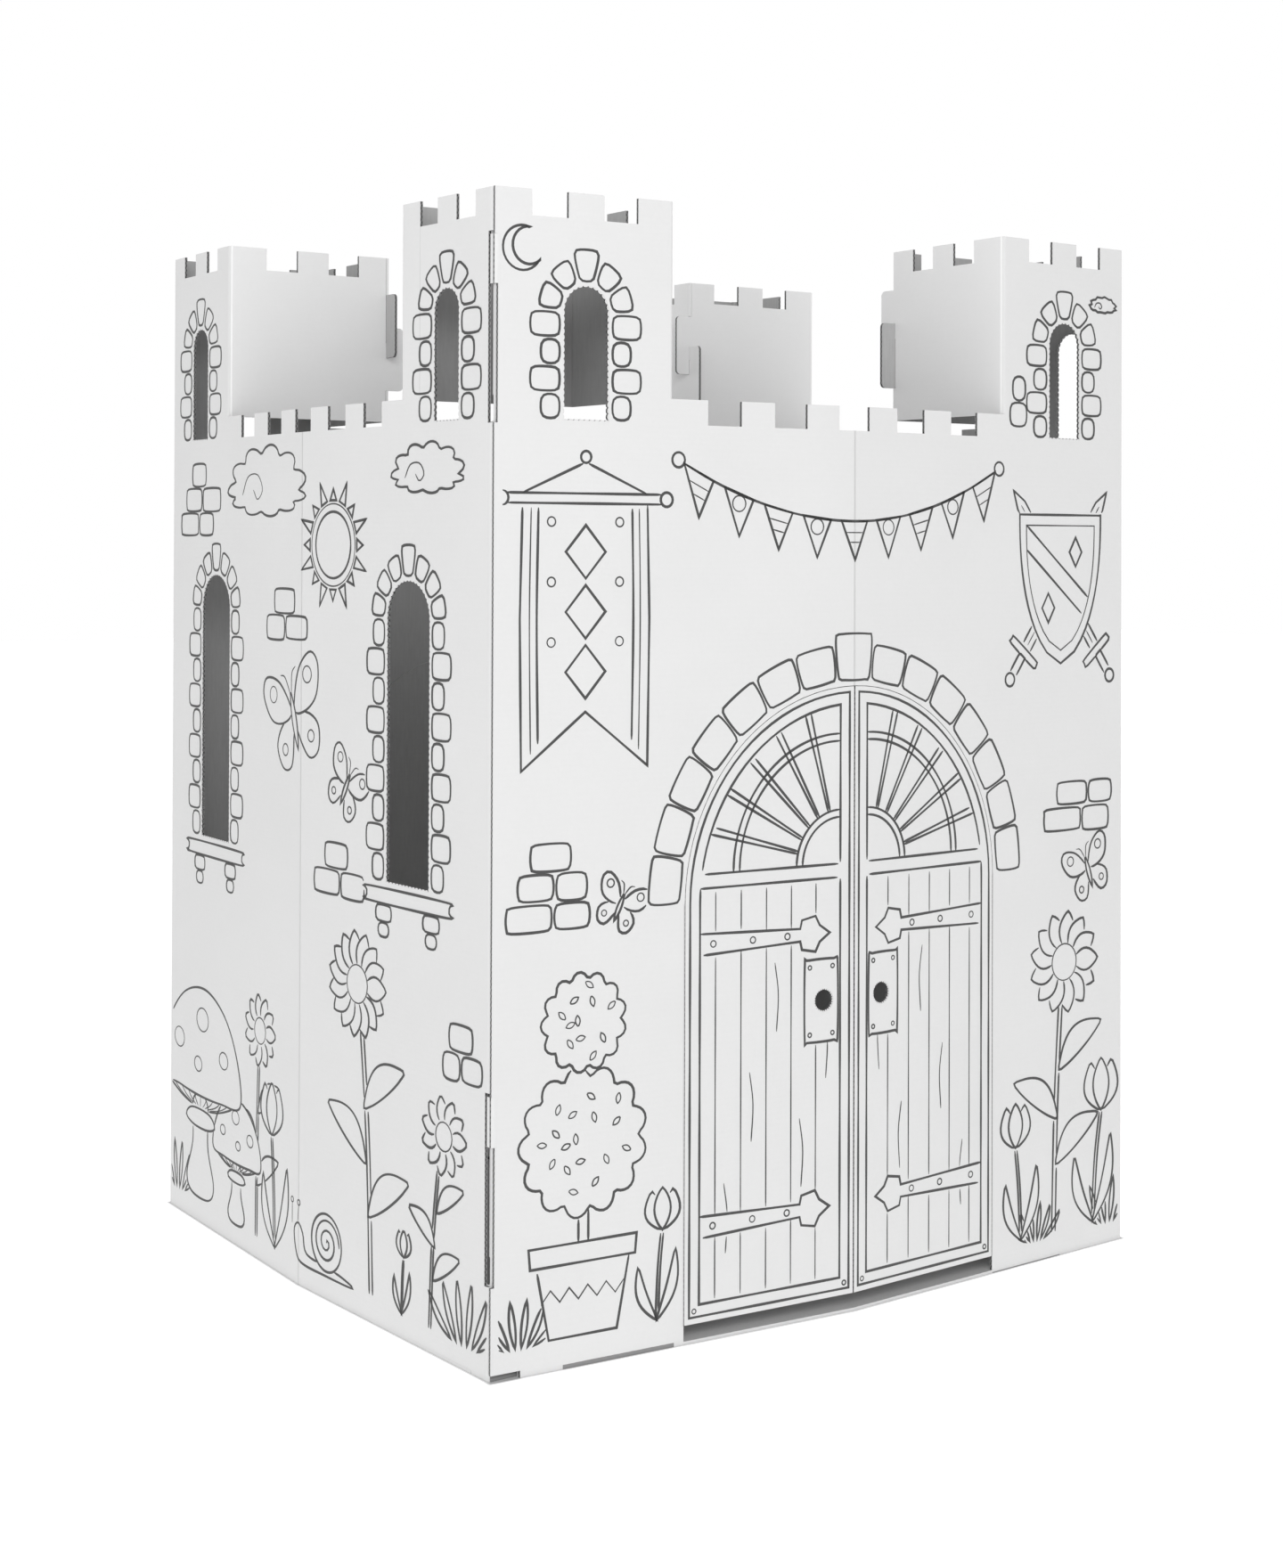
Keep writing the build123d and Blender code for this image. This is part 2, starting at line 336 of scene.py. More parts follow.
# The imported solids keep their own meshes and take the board's material on their slots
printed_board = board_material()
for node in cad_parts.values():
    while len(node.material_slots) < 1:
        node.data.materials.append(None)
    for slot in node.material_slots:
        slot.link = "OBJECT"
        slot.material = printed_board

# Printed drawings
# Line drawings in dark grey ink on the white face, for children to colour in.  Each face's
# ink is one thin layer of strokes that follows the board.  Opposite walls are printed alike.
ink_line, ink_fine = 0.0024, 0.0013
ink_proud, ink_step = 0.00012, 0.004
stroke_swell, swell_rate, end_share, end_taper = 0.14, 47, 0.45, 0.008
window_front, window_side, window_sill, window_rise = 0.048, 0.041, 0.848, 0.122
tall_width, tall_sill, tall_rise = 0.073, 0.418, 0.285
near_window, far_window = 0.137, 0.541
window_clear = 0.003

ink = Shader("printing_ink")
ink_cloud = ink.noise(ink.node("ShaderNodeTexCoord", output=3), 700.0)
ink.feed("Base Color", ink.grey(ink_cloud * 0.035 + 0.038))
ink.feed("Roughness", ink_cloud * 0.2 + 0.45)


def on_front(across, height, out):
    """Places on the front wall, across to the right as seen from outside, out from its white face.

    The wall stands furthest out at its middle crease and comes back in a straight line to
    each corner.
    """
    y = half_depth + front_bow * (1 - np.abs(across) / half_width) + out
    return np.stack([across, -np.minimum(y, half_depth + front_bow), height], axis=-1)


def on_left(across, height, out):
    """Places on the left wall, across to the right as seen from outside, out from its white face."""
    x = half_width + side_bow * (1 - np.abs(across) / half_depth) + out
    return np.stack([-np.minimum(x, half_width + side_bow), -across, height], axis=-1)


def half_turn(place):
    """The same places on the opposite wall, which is cut and printed alike."""
    return lambda across, height, out: place(across, height, out) * (-1, -1, 1)


def smooth(points, closed):
    """A Catmull-Rom curve through the points: each span is a cubic of its four nearest points."""
    points = np.asarray(points, float)
    if closed:
        padded = np.vstack([points[-1:], points, points[:2]])
    else:
        padded = np.vstack([2 * points[:1] - points[1:2], points, 2 * points[-1:] - points[-2:-1]])
    a, b, c, d = (padded[i:len(padded) - 3 + i][:, None] for i in range(4))
    t = np.linspace(0, 1, 12, endpoint=False)[None, :, None]
    squared, cubed = 2 * a - 5 * b + 4 * c - d, 3 * b - a - 3 * c + d
    curve = b + 0.5 * ((c - a) * t + squared * t ** 2 + cubed * t ** 3)
    curve = curve.reshape(-1, 2)
    return curve if closed else np.vstack([curve, points[-1:]])


def evenly(points, closed, keep_corners):
    """The same line with its points an even step apart, worked out from the length along it."""
    if closed:
        points = np.vstack([points, points[:1]])
    run = np.r_[0, np.cumsum(np.hypot(*np.diff(points, axis=0).T))]
    places = np.linspace(0, run[-1], max(18, int(run[-1] / ink_step)))
    if keep_corners:
        places = np.unique(np.r_[run, places].round(5))
    line = np.c_[np.interp(places, run, points[:, 0]), np.interp(places, run, points[:, 1])]
    return line[:-1] if closed else line


def inside(points, outline):
    """Which points lie in a closed outline: those with an odd number of its edges to their right."""
    x, y = points[:, :1], points[:, 1:]
    x0, y0 = outline.T
    x1, y1 = np.roll(outline, -1, axis=0).T
    crossed = (y0 > y) != (y1 > y)
    edge = x0 + (y - y0) * (x1 - x0) / np.where(y1 == y0, 1, y1 - y0)
    return (crossed & (x < edge)).sum(1) % 2 == 1


class Print:
    """The ink of one face, drawn from the nearest shape to the farthest.

    A closed shape hides what is drawn after it, as if it were filled with white.
    """

    def __init__(self, limit, cut_out=()):
        self.strokes = []
        self.limit = np.array(limit)
        self.hidden = list(cut_out)
        self.at()

    def at(self, place=(0, 0), size=1.0, turn=0.0, flip=1):
        """Where the next shapes go, how large, how far turned in degrees, and whether mirrored."""
        c, s = math.cos(math.radians(turn)), math.sin(math.radians(turn))
        self.place, self.matrix = np.array(place), size * np.array([[flip * c, flip * s], [-s, c]])

    def draw(self, points, width=ink_line, closed=True, curved=True, only=None):
        """Draws a line or a closed shape, less what nearer shapes hide."""
        points = smooth(points, closed) if curved else np.asarray(points, float)
        points = evenly(points @ self.matrix + self.place, closed, not curved)
        seen = inside(points, self.limit if only is None else only)
        for outline in self.hidden:
            seen &= ~inside(points, outline)
        if closed:
            self.hidden.append(points)
        if closed and seen.all():
            self.strokes.append((points, width, True))
            return
        if closed:
            start = int(np.argmin(seen))
            points, seen = np.roll(points, -start, axis=0), np.roll(seen, -start)
        ends = np.flatnonzero(np.diff(np.r_[False, seen, False].astype(int)))
        self.strokes += [(points[a:b], width, False) for a, b in ends.reshape(-1, 2) if b - a > 2]


def stroke_sides(points, width, closed):
    """Both sides of a stroke: its points moved half its width along the mitre of the two spans.

    The width swells and thins a little along the stroke, and narrows to its ends.
    """
    spans = np.diff(np.vstack([points[-1:], points, points[:1]]), axis=0)
    if not closed:
        spans[0], spans[-1] = spans[1], spans[-2]
    spans /= np.maximum(np.hypot(*spans.T), 1e-9)[:, None]
    normals = spans[:, ::-1] * (-1, 1)
    mitre = normals[:-1] + normals[1:]
    mitre /= np.maximum(np.hypot(*mitre.T), 1e-6)[:, None]
    mitre /= np.maximum((mitre * normals[1:]).sum(1), 0.5)[:, None]
    run = np.r_[0, np.cumsum(np.hypot(*np.diff(points, axis=0).T))]
    half = width / 2 * (1 + stroke_swell * np.sin(run * swell_rate + points[0].sum() * 90))
    if not closed:
        half = half * np.minimum(1, end_share + np.minimum(run, run[-1] - run) / end_taper)
    return points + mitre * half[:, None], points - mitre * half[:, None]


def bands(name, edges, top, base, material, place, body):
    """One mesh of flat bands, each between its left and right edges and between two depths."""
    sides, faces, start = [], [], 0
    for left, right, closed in edges:
        count = len(left)
        sides.append(np.stack([left, right, right, left], axis=1))
        near = np.arange(count if closed else count - 1)
        far = (near + 1) % count
        near, far = 4 * (near + start), 4 * (far + start)
        for a, b in ((1, 0), (2, 1), (3, 2), (0, 3)):
            faces.append(np.stack([near + a, far + a, far + b, near + b], axis=1))
        if not closed:
            last = 4 * (start + count - 1)
            faces.append(np.array([[4 * start, 4 * start + 3, 4 * start + 2, 4 * start + 1],
                                   [last + 1, last + 2, last + 3, last]]))
        start += count
    sides = np.concatenate(sides)
    out = np.broadcast_to((top, top, base, base), sides.shape[:2])
    mesh = bpy.data.meshes.new(name)
    mesh.from_pydata(place(sides[..., 0], sides[..., 1], out).reshape(-1, 3).tolist(), [],
                     np.concatenate(faces).tolist())
    mesh.materials.append(material)
    piece = bpy.data.objects.new(name, mesh)
    bpy.context.scene.collection.objects.link(piece)
    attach(piece, body)


def ink_layer(name, drawing, place, body):
    """One thin layer of all a drawing's strokes on the white face."""
    edges = [(*stroke_sides(*stroke), stroke[2]) for stroke in drawing.strokes]
    bands(name, edges, ink_proud, 0, ink.material, place, body)


def ring(centre, radius, tall=1.0, bumps=0, depth=0.0):
    """A round or oval outline, with its radius raised by the sine of its bumps."""
    turn = np.linspace(0, 2 * math.pi, max(16, bumps * 5), endpoint=False)
    reach = radius * (1 + depth * np.abs(np.sin(bumps * turn / 2)))
    return np.c_[centre[0] + reach * np.cos(turn), centre[1] + tall * reach * np.sin(turn)]


def lens(base, tip, width, bend=0.0):
    """A leaf from base to tip: half its width follows a sine, and its middle line bends aside."""
    base, tip = np.array(base, float), np.array(tip, float)
    t = np.linspace(0, 1, 9)[:, None]
    aside = (tip - base)[::-1] * (-1, 1) / np.hypot(*(tip - base))
    middle = base + (tip - base) * t + aside * bend * np.sin(math.pi * t)
    half = aside * width / 2 * np.sin(math.pi * t) ** 0.8
    return np.vstack([middle + half, (middle - half)[-2:0:-1]])


def block(low, high, corner):
    """A rectangle with rounded corners."""
    (x0, y0), (x1, y1) = low, high
    return [(x0 + corner, y0), (x1 - corner, y0), (x1, y0 + corner), (x1, y1 - corner),
            (x1 - corner, y1), (x0 + corner, y1), (x0, y1 - corner), (x0, y0 + corner)]


def arch_outline(width, rise, middle, sill, grow=0.0):
    """A round-headed outline, grown outwards all round."""
    half = width / 2 + grow
    turn = np.linspace(0, math.pi, 25)
    head = np.c_[middle + half * np.cos(turn), sill + rise - width / 2 + half * np.sin(turn)]
    return np.vstack([[(middle - half, sill - grow), (middle + half, sill - grow)], head])


# Masonry in the drawings
# Outlines printed on the board: rounded blocks of stone round the windows and the doorway,
# and loose patches of a few blocks on the plain wall.
stone_gap, stone_row, stone_corner = 0.004, 0.027, 0.0045
quoin_long, quoin_short = 0.034, 0.023
keystone_share, wedge_deep = 0.3, 0.026
chance = np.random.default_rng(7)


def stone_arch(pen, middle, spring, inner, outer, count):
    """Wedge stones: rounded blocks laid out by angle and radius round an arch's centre."""
    step = math.pi / count
    for number in range(count):
        head = outer + (keystone_share * (outer - inner) if number == count // 2 else 0)
        gap = stone_gap / inner / 2
        low, high = (number * step + gap, inner), ((number + 1) * step - gap, head)
        turn = np.array(block(low, high, step / 7))[:, 0]
        edges = np.array(block((0, inner), (1, head), stone_gap))[:, 1]
        pen.at((middle, spring))
        pen.draw(np.c_[edges * np.cos(turn), edges * np.sin(turn)])


def quoins(pen, edge, side, low, high):
    """Stones up one side of an opening, long and short by turns."""
    rows = round((high - low) / stone_row)
    height = (high - low) / rows
    for number in range(rows):
        long = quoin_long if number % 2 else quoin_short
        pen.at((edge, low + number * height), flip=side)
        pen.draw(block((stone_corner, stone_gap / 2), (long, height - stone_gap / 2), stone_corner))


def stone_patch(pen, place, rows):
    """A few courses of stones, each row a start and the lengths of its blocks."""
    pen.at(place)
    for number, (start, lengths) in enumerate(rows):
        for length in lengths:
            low, drop = number * stone_row, chance.uniform(-0.0012, 0.0012)
            high = (start + length - stone_gap, low + stone_row - stone_gap)
            pen.draw(block((start, low + drop), high, 0.005))
            start += length


def window_stones(pen, width, rise, middle, sill, count):
    """Wedge stones over an arched window and quoins down its sides."""
    spring = sill + rise - width / 2
    stone_arch(pen, middle, spring, width / 2 + stone_corner, width / 2 + wedge_deep, count)
    for side in (-1, 1):
        quoins(pen, middle + side * width / 2, side, sill, spring)


def window_ledge(pen, width, middle, sill):
    """A stone ledge under a window on two stepped brackets."""
    pen.at((middle, sill), width)
    pen.draw(block((-0.95, -0.27), (0.95, -0.08), 0.05))
    for side in (-1, 1):
        pen.at((middle + side * width * 0.55, sill), width)
        pen.draw(block((-0.18, -0.50), (0.18, -0.30), 0.05))
        pen.draw(block((-0.12, -0.70), (0.12, -0.53), 0.05))


# Plants in the drawings
# More of the printed outlines: flowers, grass, toadstools and a clipped bush in a pot, all
# standing close above the foot of the wall.
golden_turn = math.radians(137.5)


def daisy_head(pen, place, size, petals):
    """A round heart with pointed petals set evenly round it."""
    pen.at(place, size)
    pen.draw(ring((0, 0), 0.36), ink_fine)
    for turn in np.linspace(0, 360, petals, endpoint=False):
        pen.at(place, size, turn)
        pen.draw(lens((0.25, 0), (1, 0), 0.44))


def stem(pen, place, height, lean, leaves):
    """Two close lines up to the bloom, with a leaf at each share of the height."""
    pen.at(place, height)
    for share, side in leaves:
        tip = (lean * share + side * 0.24, share + 0.16)
        pen.draw(lens((lean * share, share), tip, 0.10, 0.03 * side))
    for shift in (-0.010, 0.010):
        pen.draw([(shift, 0), (shift + lean * 0.3, 0.5), (shift + lean, 1)], closed=False)


def daisy(pen, place, height, lean, petals, bloom):
    """A daisy whose bloom takes a share of its height, on a stem with three leaves."""
    head = (place[0] + lean * height, place[1] + height * (1 - bloom))
    daisy_head(pen, head, height * bloom, petals)
    stem(pen, place, height * (1 - bloom), lean, ((0.25, 1), (0.42, -1), (0.6, 1)))


def tulip(pen, place, height, lean):
    """A cup of three petals on a stem with two long leaves."""
    cup = (place[0] + lean * height, place[1] + height * 0.68)
    pen.at(cup, height)
    pen.draw(lens((0, 0), (0, 0.32), 0.15))
    for side in (-1, 1):
        pen.draw(lens((0.01 * side, 0), (0.10 * side, 0.30), 0.15, -0.03 * side))
    pen.at(place, height)
    for side, reach in ((1, 0.52), (-1, 0.42)):
        pen.draw(lens((0, 0), (0.17 * side, reach), 0.09, -0.05 * side))
    for shift in (-0.012, 0.012):
        pen.draw([(shift, 0), (shift + lean * 0.4, 0.4), (shift + lean, 0.69)], closed=False)


def grass(pen, place, height):
    """A tuft of blades that lean apart."""
    blades = 6
    pen.at(place, height)
    for number in range(blades):
        share = number / (blades - 1) - 0.5
        tall = 1 - 0.9 * abs(share) * chance.uniform(0.6, 1.0)
        pen.draw(lens((share * 0.7, 0), (share * 1.9, tall), 0.13, -0.1 * share))


def toadstool(pen, place, height, flip=1):
    """A domed cap with round spots on a bulging stalk with a frill."""
    pen.at(place, height, flip=flip)
    spots = ((-0.26, 0.72, 0.06), (0.02, 0.85, 0.07), (0.27, 0.70, 0.05), (-0.03, 0.63, 0.045))
    for x, y, radius in spots:
        pen.draw(ring((x, y), radius, 0.8), ink_fine)
    pen.draw([(-0.46, 0.52), (-0.42, 0.74), (-0.22, 0.94), (0.04, 1), (0.28, 0.91), (0.43, 0.72),
              (0.46, 0.52), (0.24, 0.49), (0, 0.48), (-0.24, 0.49)])
    for share in np.linspace(-0.8, 0.8, 9):
        pen.draw([(share * 0.44, 0.51), (share * 0.3, 0.46), (share * 0.14, 0.43)], ink_fine, False)
    pen.draw([(-0.17, 0.36), (-0.10, 0.41), (0.10, 0.41), (0.17, 0.36), (0.08, 0.33), (-0.08, 0.33)])
    pen.draw([(-0.08, 0.46), (-0.09, 0.25), (-0.16, 0.08), (-0.10, 0), (0.10, 0), (0.16, 0.08),
              (0.09, 0.25), (0.08, 0.46)])
    pen.draw([(-0.40, 0.50), (-0.2, 0.44), (0, 0.42), (0.2, 0.44), (0.40, 0.50)], closed=False)


def topiary(pen, place, height):
    """A bush clipped into two balls, in a tapered pot with a rim and a zigzag band."""
    pen.at(place, height)
    for centre, reach in (((0, 0.86), 0.12), ((0, 0.53), 0.18)):
        for number in range(1, round(reach * 100)):
            turn, far = number * golden_turn, reach * 0.85 * math.sqrt(number / (reach * 100))
            base = np.array((far * math.cos(turn), centre[1] + far * math.sin(turn)))
            tip = base + (0.030 * math.cos(turn * 2), 0.030 * math.sin(turn * 2))
            pen.draw(lens(base, tip, 0.015), ink_fine)
        pen.draw(ring(centre, reach, 1.0, 13, 0.16))
    pen.draw([(-0.17, 0.20), (0.17, 0.20), (0.175, 0.255), (-0.175, 0.255)], curved=False)
    zigzag = [(-0.135 + 0.03 * number, 0.10 + 0.035 * (number % 2)) for number in range(10)]
    pen.draw(zigzag, ink_fine, False, False)
    pen.draw([(-0.15, 0.20), (-0.11, 0), (0.11, 0), (0.15, 0.20)], curved=False)
    for shift in (-0.016, 0.016):
        pen.draw([(shift, 0.255), (shift, 0.76)], closed=False, curved=False)


# Small creatures and sky in the drawings
# More of the printed outlines: butterflies and a snail near the flowers, and clouds, a sun
# and a crescent moon towards the top of the walls.


def butterfly(pen, place, size, turn):
    """Two pairs of spotted wings on a slim body with feelers."""
    pen.at(place, size, turn)
    pen.draw(lens((0, -0.26), (0, 0.24), 0.08))
    for side in (-1, 1):
        pen.draw([(0.01 * side, 0.22), (0.07 * side, 0.38), (0.15 * side, 0.42)], ink_fine, False)
        pen.draw(ring((0.33 * side, 0.30), 0.07), ink_fine)
        pen.draw(ring((0.24 * side, -0.20), 0.05), ink_fine)
        pen.draw([(0.03 * side, 0.08), (0.18 * side, 0.36), (0.42 * side, 0.47), (0.52 * side, 0.34),
                  (0.42 * side, 0.10), (0.20 * side, 0.02)])
        pen.draw([(0.03 * side, 0.02), (0.24 * side, 0.00), (0.38 * side, -0.14), (0.32 * side, -0.34),
                  (0.16 * side, -0.36), (0.05 * side, -0.14)])


def snail(pen, place, size, flip):
    """A coiled shell on a low foot, with two feelers."""
    pen.at(place, size, flip=flip)
    turn = np.linspace(0, 5 * math.pi, 34)
    pen.draw(np.c_[-0.04 + 0.017 * turn * np.cos(turn), 0.36 + 0.017 * turn * np.sin(turn)], closed=False)
    pen.draw(ring((-0.04, 0.36), 0.31))
    pen.draw([(-0.58, 0.01), (0, 0), (0.46, 0.01), (0.60, 0.10), (0.66, 0.34), (0.56, 0.44), (0.46, 0.34),
              (0.38, 0.14), (0, 0.10), (-0.35, 0.07)])
    for reach in (0.52, 0.68):
        pen.draw(ring((reach + 0.03, 0.66), 0.03), ink_fine)
        root = (reach + 0.06 - 0.03 * (reach > 0.6), 0.40)
        pen.draw([root, (reach + 0.03, 0.63)], ink_fine, False, False)


def cloud(pen, place, size):
    """A puffed outline: an oval raised by eleven bumps, flatter below."""
    outline = ring((0, 0), 0.46, 0.5, 11, 0.22)
    outline[:, 1] *= np.where(outline[:, 1] < 0, 0.55, 1)
    pen.at(place, size)
    pen.draw([(-0.34, -0.02), (-0.26, 0.09), (-0.12, 0.10), (-0.05, 0.01), (-0.12, -0.05),
              (-0.18, 0.01)], ink_fine, False)
    pen.draw(outline)


def sun(pen, place, size):
    """A disc with long and short rays."""
    pen.at(place, size)
    pen.draw(ring((0, 0), 0.25))
    pen.draw(ring((0, 0), 0.31), ink_fine)
    for number in range(16):
        pen.at(place, size, 22.5 * number)
        reach = 0.5 if number % 2 else 0.42
        pen.draw([(0.335, -0.045), (reach, 0), (0.335, 0.045)], curved=False)


def moon(pen, place, size, turn):
    """A crescent between two arcs."""
    outer, inner = np.radians(np.linspace(50, 310, 22)), np.radians(np.linspace(300, 60, 20))
    edge = np.r_[0.5 * np.cos(outer), 0.18 + 0.42 * np.cos(inner)]
    pen.at(place, size, turn)
    pen.draw(np.c_[edge, np.r_[0.5 * np.sin(outer), 0.42 * np.sin(inner)]])


# Heraldry in the drawings
# The last of the printed outlines: a hung banner, a shield on crossed swords, and a string
# of flags over the doorway.


def shield_half(height):
    """Half the width of a shield whose top edge is at a half and whose point is at minus 0.62."""
    return 0.46 * (1 - ((0.5 - height) / 1.12) ** 2.4) ** 0.62


def shield(pen, place, size):
    """A bordered shield with a slanting band between two lozenges, on two crossed swords."""
    pen.at(place, size)
    heights = np.linspace(0.5, -0.62, 14)
    right_side = np.c_[shield_half(heights), heights]
    outline = np.vstack([right_side, right_side[::-1] * (-1, 1)])
    border = outline * 0.84
    field = border @ pen.matrix + pen.place
    for x, y in ((0.17, 0.22), (-0.14, -0.20)):
        pen.draw([(x, y - 0.11), (x + 0.07, y), (x, y + 0.11), (x - 0.07, y)], curved=False)
    for rise in (-0.09, 0.09):
        pen.draw([(-0.5, 0.42 + rise), (0.5, -0.36 + rise)], closed=False, curved=False, only=field)
    pen.draw(border, ink_fine, curved=False)
    pen.draw(outline, curved=False)
    for turn in (38, -38):
        pen.at(place, size, turn)
        pen.draw(ring((0, -0.92), 0.05))
        pen.draw(block((-0.035, -0.88), (0.035, -0.70), 0.01))
        pen.draw(block((-0.17, -0.70), (0.17, -0.64), 0.02))
        pen.draw([(0, -0.60), (0, 0.72)], ink_fine, False, False)
        pen.draw([(-0.05, -0.64), (0.05, -0.64), (0.05, 0.72), (0, 0.86), (-0.05, 0.72)], curved=False)


def banner(pen, place, height):
    """A swallow-tailed cloth on a rod, hung from a peg, with lozenges between two stripes."""
    pen.at(place, height)
    pen.draw(ring((0, 0.985), 0.018))
    for side in (-1, 1):
        pen.draw(ring((0.29 * side, 0.86), 0.022))
        pen.draw([(0.01 * side, 0.965), (0.22 * side, 0.875)], closed=False, curved=False)
    pen.draw([(-0.27, 0.845), (0.27, 0.845), (0.27, 0.875), (-0.27, 0.875)], curved=False)
    for middle in (0.70, 0.52, 0.34):
        lozenge = [(0, middle - 0.08), (0.07, middle), (0, middle + 0.08), (-0.07, middle)]
        pen.draw(lozenge, curved=False)
        for side in (-1, 1):
            pen.draw(ring((0.12 * side, middle + 0.09), 0.014), ink_fine)
    for side in (-1, 1):
        pen.draw([(0.165 * side, 0.845), (0.17 * side, 0.5), (0.165 * side, 0.13)], closed=False)
        pen.draw([(0.19 * side, 0.845), (0.195 * side, 0.5), (0.19 * side, 0.10)], ink_fine, False)
    pen.draw([(-0.22, 0.845), (0.22, 0.845), (0.228, 0.5), (0.222, 0.05), (0, 0.22), (-0.222, 0.05),
              (-0.228, 0.5)], curved=False)


def bunting(pen, left, right, sag, flags):
    """Flags on a cord that sags as a parabola between two pegs."""
    def cord(share):
        return np.array([left[0] + (right[0] - left[0]) * share,
                         left[1] + (right[1] - left[1]) * share - 4 * sag * share * (1 - share)])
    pen.at()
    for end in (left, right):
        pen.draw(ring(end, 0.007))
    pen.draw([cord(share) for share in np.linspace(0, 1, 15)], closed=False)
    for number in range(flags):
        a, b = cord((number + 0.14) / flags), cord((number + 0.86) / flags)
        point = (a + b) / 2 + (0, -1.15 * np.hypot(*(b - a)))
        middle = (a + b + point) / 3
        if number % 2:
            pen.draw(ring(middle + (0, 0.004), 0.0075), ink_fine)
        else:
            for share in (0.3, 0.55):
                pen.draw([a + (point - a) * share, b + (point - b) * share], ink_fine, False, False)
        pen.draw([a, b, point], curved=False)


# Perforated edges
# The openings are punched along a toothed rule, which leaves a row of tiny half-round tabs
# of board round each window and finger hole.
nick_pitch, nick_depth, nick_sunk, nick_clear = 0.0055, 0.0013, 0.0004, 0.00025
nick_points = 7


def nicked_edges(name, outlines, pitch, place, body):
    """Tabs round each opening, whose height is the root of the sine of the way along its cut."""
    edges = []
    for outline in outlines:
        length = np.hypot(*(np.roll(outline, -1, axis=0) - outline).T).sum()
        tabs = round(length / pitch)
        loop = np.vstack([outline, outline[:1]])
        run = np.r_[0, np.cumsum(np.hypot(*np.diff(loop, axis=0).T))]
        places = np.linspace(0, length, nick_points * tabs, endpoint=False)
        points = np.c_[np.interp(places, run, loop[:, 0]), np.interp(places, run, loop[:, 1])]
        along = np.roll(points, -1, axis=0) - np.roll(points, 1, axis=0)
        inward = along[:, ::-1] * (-1, 1) / np.hypot(*along.T)[:, None]
        height = nick_depth * np.sqrt(np.abs(np.sin(math.pi * places / length * tabs)))
        edges.append((points + inward * height[:, None], points - inward * nick_sunk, True))
    bands(name, edges, -nick_clear, nick_clear - board, printed_board, place, body)


# Front and back walls' print
# Stones round the doorway and the tower windows, flags over the door, a banner and a shield
# at the sides, and a garden along the ground.
tower_middle = half_width - tower_front / 2
door_arch = arch_outline(2 * half_door, door_spring_height + half_door, 0, 0, window_clear)
edge_margin, ground_margin = 0.0065, 0.013


def front_windows(grow=0.0):
    """The outlines of a long wall's two tower windows."""
    return [arch_outline(window_front, window_rise, side * tower_middle, window_sill, grow)
            for side in (-1, 1)]


def face_limit(half):
    """The corners of the printed part of a wall, from its half width."""
    low, high = edge_margin - half, half - edge_margin
    return [(low, ground_margin), (high, ground_margin), (high, tower_height), (low, tower_height)]


front_print = Print(face_limit(half_width), [door_arch, *front_windows(window_clear)])
stone_arch(front_print, 0, door_spring_height, half_door + 0.006, half_door + 0.040, 15)
for side in (-1, 1):
    window_stones(front_print, window_front, window_rise, side * tower_middle, window_sill, 5)
bunting(front_print, (-0.205, 0.815), (0.205, 0.815), 0.055, 9)
banner(front_print, (-0.305, 0.520), 0.300)
shield(front_print, (0.300, 0.700), 0.138)
moon(front_print, (-0.372, 1.000), 0.040, 20)
cloud(front_print, (0.367, 0.990), 0.040)
stone_patch(front_print, (-0.386, 0.392),
            ((0, (0.05, 0.04)), (0.012, (0.04, 0.035)), (0.025, (0.045,))))
stone_patch(front_print, (0.275, 0.440), ((0, (0.06, 0.045)), (0.02, (0.05, 0.04))))
stone_patch(front_print, (0.222, 0.860), ((0, (0.028,)), (0.004, (0.022,))))
topiary(front_print, (-0.305, 0.028), 0.325)
grass(front_print, (-0.372, 0.026), 0.045)
tulip(front_print, (-0.226, 0.028), 0.120, 0.05)
butterfly(front_print, (-0.268, 0.408), 0.054, -25)
daisy(front_print, (0.290, 0.026), 0.330, 0.05, 13, 0.16)
tulip(front_print, (0.352, 0.026), 0.170, 0.08)
tulip(front_print, (0.240, 0.026), 0.140, -0.06)
grass(front_print, (0.262, 0.022), 0.040)
grass(front_print, (0.376, 0.022), 0.050)
butterfly(front_print, (0.345, 0.395), 0.070, 20)
nicked_edges("front_perforations", front_windows(), nick_pitch, on_front, "walls")
nicked_edges("back_perforations", front_windows(), nick_pitch, half_turn(on_front), "walls")
ink_layer("front_print", front_print, on_front, "walls")
ink_layer("back_print", front_print, half_turn(on_front), "walls")

# Side walls' print
# Stone surrounds and ledges at the tall windows, clouds and a sun above, and tall flowers
# and toadstools along the ground.
side_towers = half_depth - tower_side / 2
tall_windows = [half_depth - near_window, half_depth - far_window]


def side_windows(grow=0.0):
    """The outlines of a side wall's two tower windows and two tall windows."""
    small = [arch_outline(window_side, window_rise, side * side_towers, window_sill, grow)
             for side in (-1, 1)]
    return small + [arch_outline(tall_width, tall_rise, middle, tall_sill, grow)
                    for middle in tall_windows]


